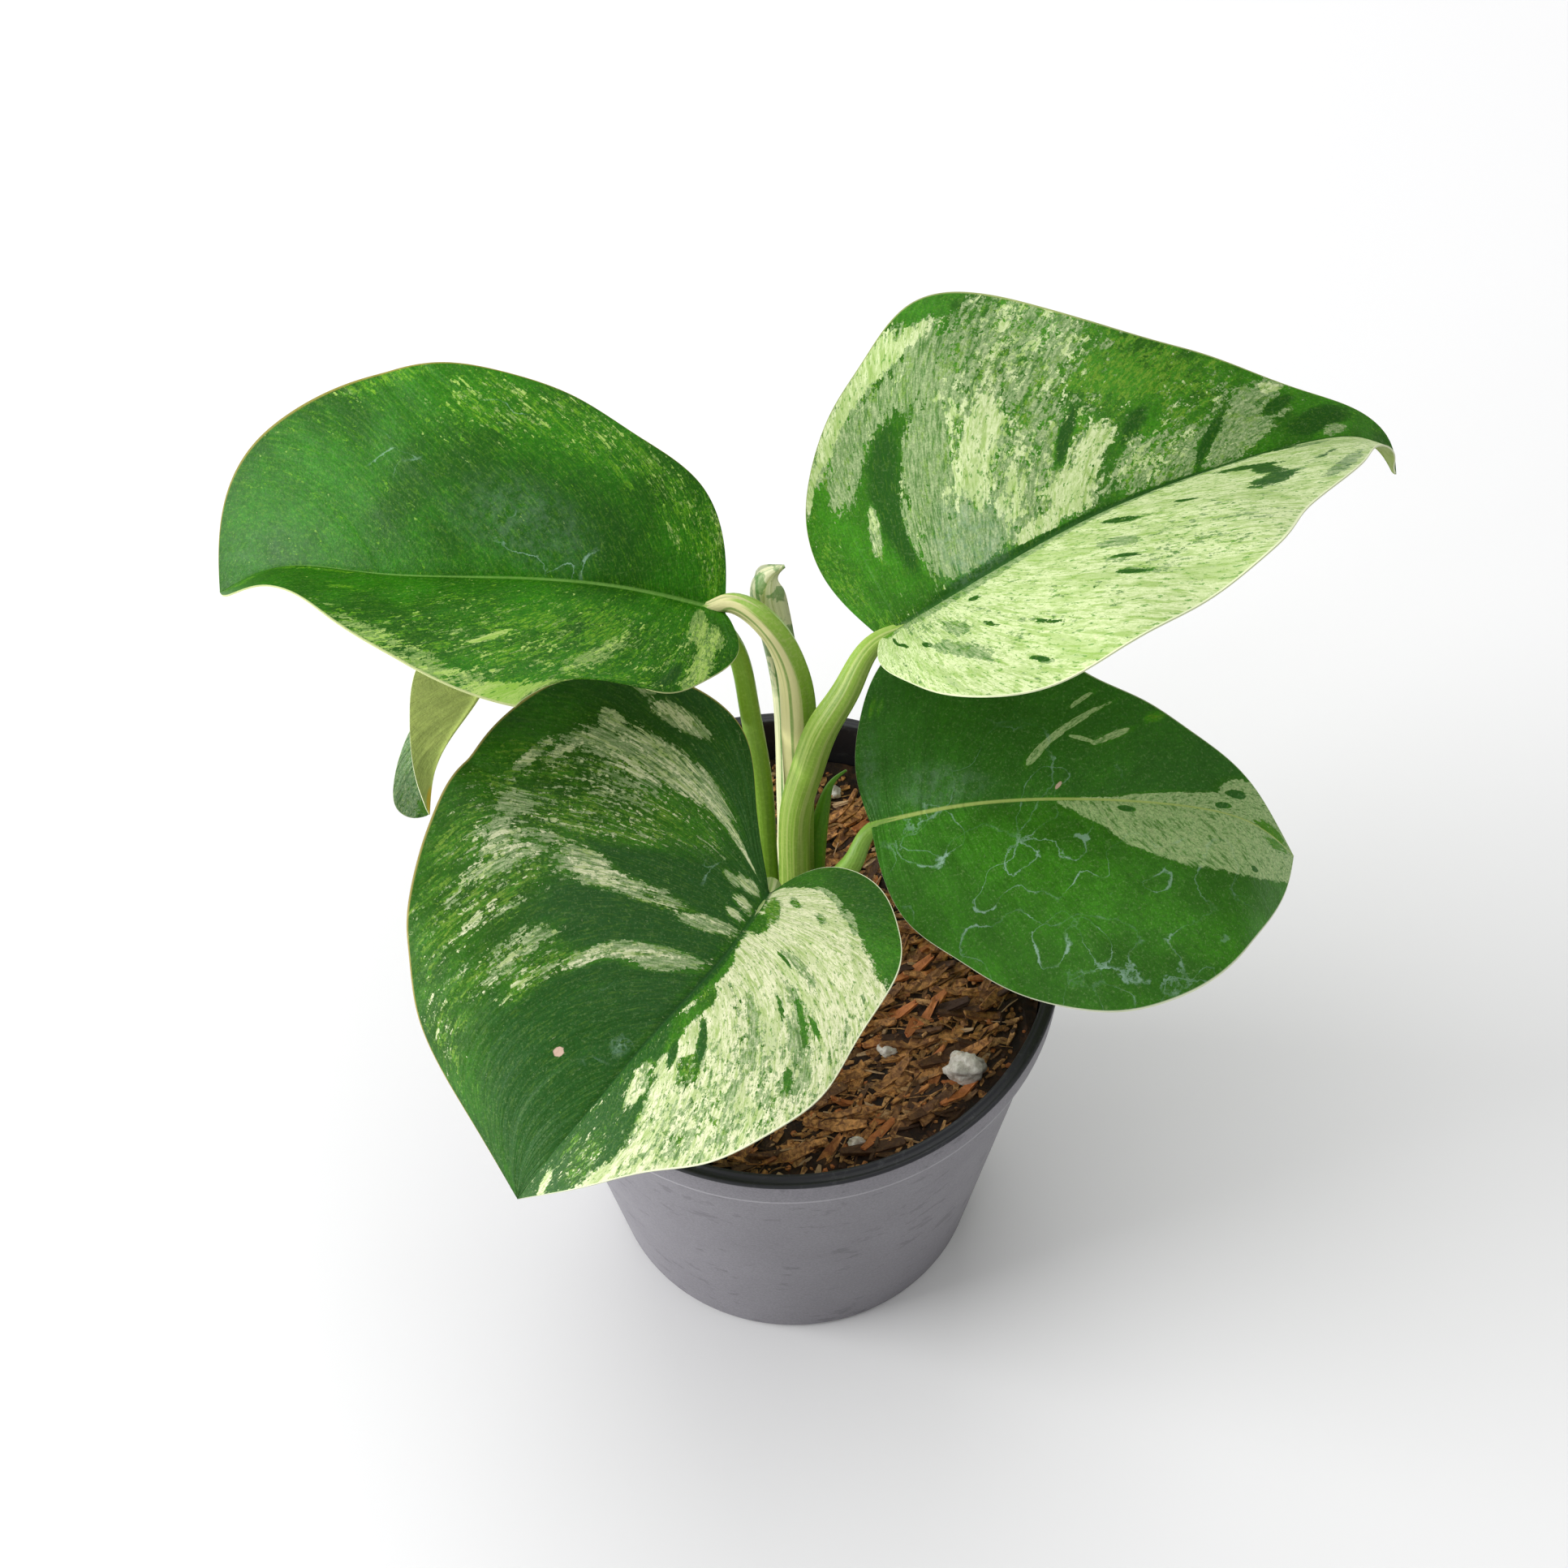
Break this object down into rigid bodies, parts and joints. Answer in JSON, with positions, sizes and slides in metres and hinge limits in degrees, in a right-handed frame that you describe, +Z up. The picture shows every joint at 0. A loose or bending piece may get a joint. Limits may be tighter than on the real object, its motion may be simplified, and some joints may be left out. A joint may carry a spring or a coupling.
{
  "type": "potted scindapsus",
  "caption": "Young variegated scindapsus with broad heart-shaped leaves on arching stalks, growing from bark soil in a round tapered plastic nursery pot.",
  "frame": {"origin": "middle of the pot's underside, on the surface that it stands on", "axes": "+Z up through the middle of the pot, -Y towards the viewer of the picture, +X to the viewer's right"},
  "size_m": [0.2564, 0.1795, 0.2222],
  "materials": {
    "pot_plastic": "matt grey plastic, darker on the lip and inside",
    "soil": "rough bark and coir",
    "crown": "matt, fibrous",
    "perlite": "matt, porous",
    "stalk": "satin, striped green and cream",
    "young_growth": "satin, cream and green",
    "leaf_green": "satin green",
    "leaf_marbled": "satin, marbled green and cream",
    "leaf_underside": "matt, pale yellow-green"
  },
  "bodies": {
    "root": {"pot": "pot_plastic", "soil": "soil", "crown": "crown", "perlite_large": "perlite", "perlite_left": "perlite", "perlite_front": "perlite", "perlite_back": "perlite", "petiole_left": "stalk", "petiole_right": "stalk", "petiole_front": "stalk", "petiole_low": "stalk", "petiole_hanging": "stalk", "young_leaf": "young_growth", "sprout": "young_growth", "leaf_left": "leaf_green", "leaf_low": "leaf_green", "leaf_right": "leaf_marbled", "leaf_front": "leaf_marbled", "leaf_hanging": "leaf_underside"}
  },
  "joints": []
}
